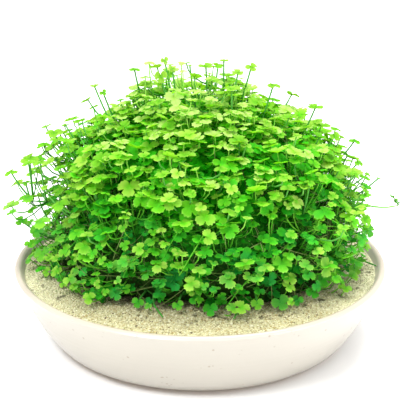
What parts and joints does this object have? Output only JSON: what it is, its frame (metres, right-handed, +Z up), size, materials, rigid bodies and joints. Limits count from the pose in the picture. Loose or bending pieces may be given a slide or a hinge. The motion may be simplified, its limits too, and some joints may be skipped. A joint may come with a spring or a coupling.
{
  "type": "potted hydrocotyle tripartita",
  "caption": "Low round pot of sand overgrown by a domed bush of small lobed pennywort leaves on fine stalks, with short runners creeping out at its edge.",
  "frame": {"origin": "middle of the pot's flat foot", "axes": "+Z up, the side that the picture shows faces -Y"},
  "size_m": [0.2371, 0.2248, 0.1671],
  "materials": {
    "pot_glaze": "satin off-white glaze",
    "sand": "loose fine pale yellow sand",
    "foliage": "fresh satin leaves",
    "stems": "smooth pale green stems"
  },
  "bodies": {
    "root": {"pot": "pot_glaze", "sand": "sand", "bush": "foliage", "leaf_01": "foliage", "leaf_02": "foliage", "leaf_03": "foliage", "leaf_04": "foliage", "leaf_05": "foliage", "leaf_06": "foliage", "leaf_07": "foliage", "leaf_08": "foliage", "leaf_09": "foliage", "leaf_10": "foliage", "leaf_11": "foliage", "leaf_12": "foliage", "leaf_13": "foliage", "leaf_14": "foliage", "leaf_15": "foliage", "leaf_16": "foliage", "leaf_17": "foliage", "leaf_18": "foliage", "leaf_19": "foliage", "leaf_20": "foliage", "leaf_21": "foliage", "leaf_22": "foliage", "leaf_23": "foliage", "leaf_24": "foliage", "leaf_25": "foliage", "leaf_26": "foliage", "leaf_27": "foliage", "leaf_28": "foliage", "leaf_29": "foliage", "leaf_30": "foliage", "leaf_31": "foliage", "leaf_32": "foliage", "leaf_33": "foliage", "leaf_34": "foliage", "leaf_35": "foliage", "leaf_36": "foliage", "leaf_37": "foliage", "leaf_38": "foliage", "leaf_39": "foliage", "leaf_40": "foliage", "leaf_41": "foliage", "leaf_42": "foliage", "leaf_43": "foliage", "leaf_44": "foliage", "leaf_45": "foliage", "leaf_46": "foliage", "leaf_47": "foliage", "leaf_48": "foliage", "leaf_49": "foliage", "leaf_50": "foliage", "runner_left": "stems", "runner_right": "stems", "runner_right_low": "stems", "runner_front_left": "stems", "runner_front_right": "stems", "runner_back": "stems"}
  },
  "joints": []
}
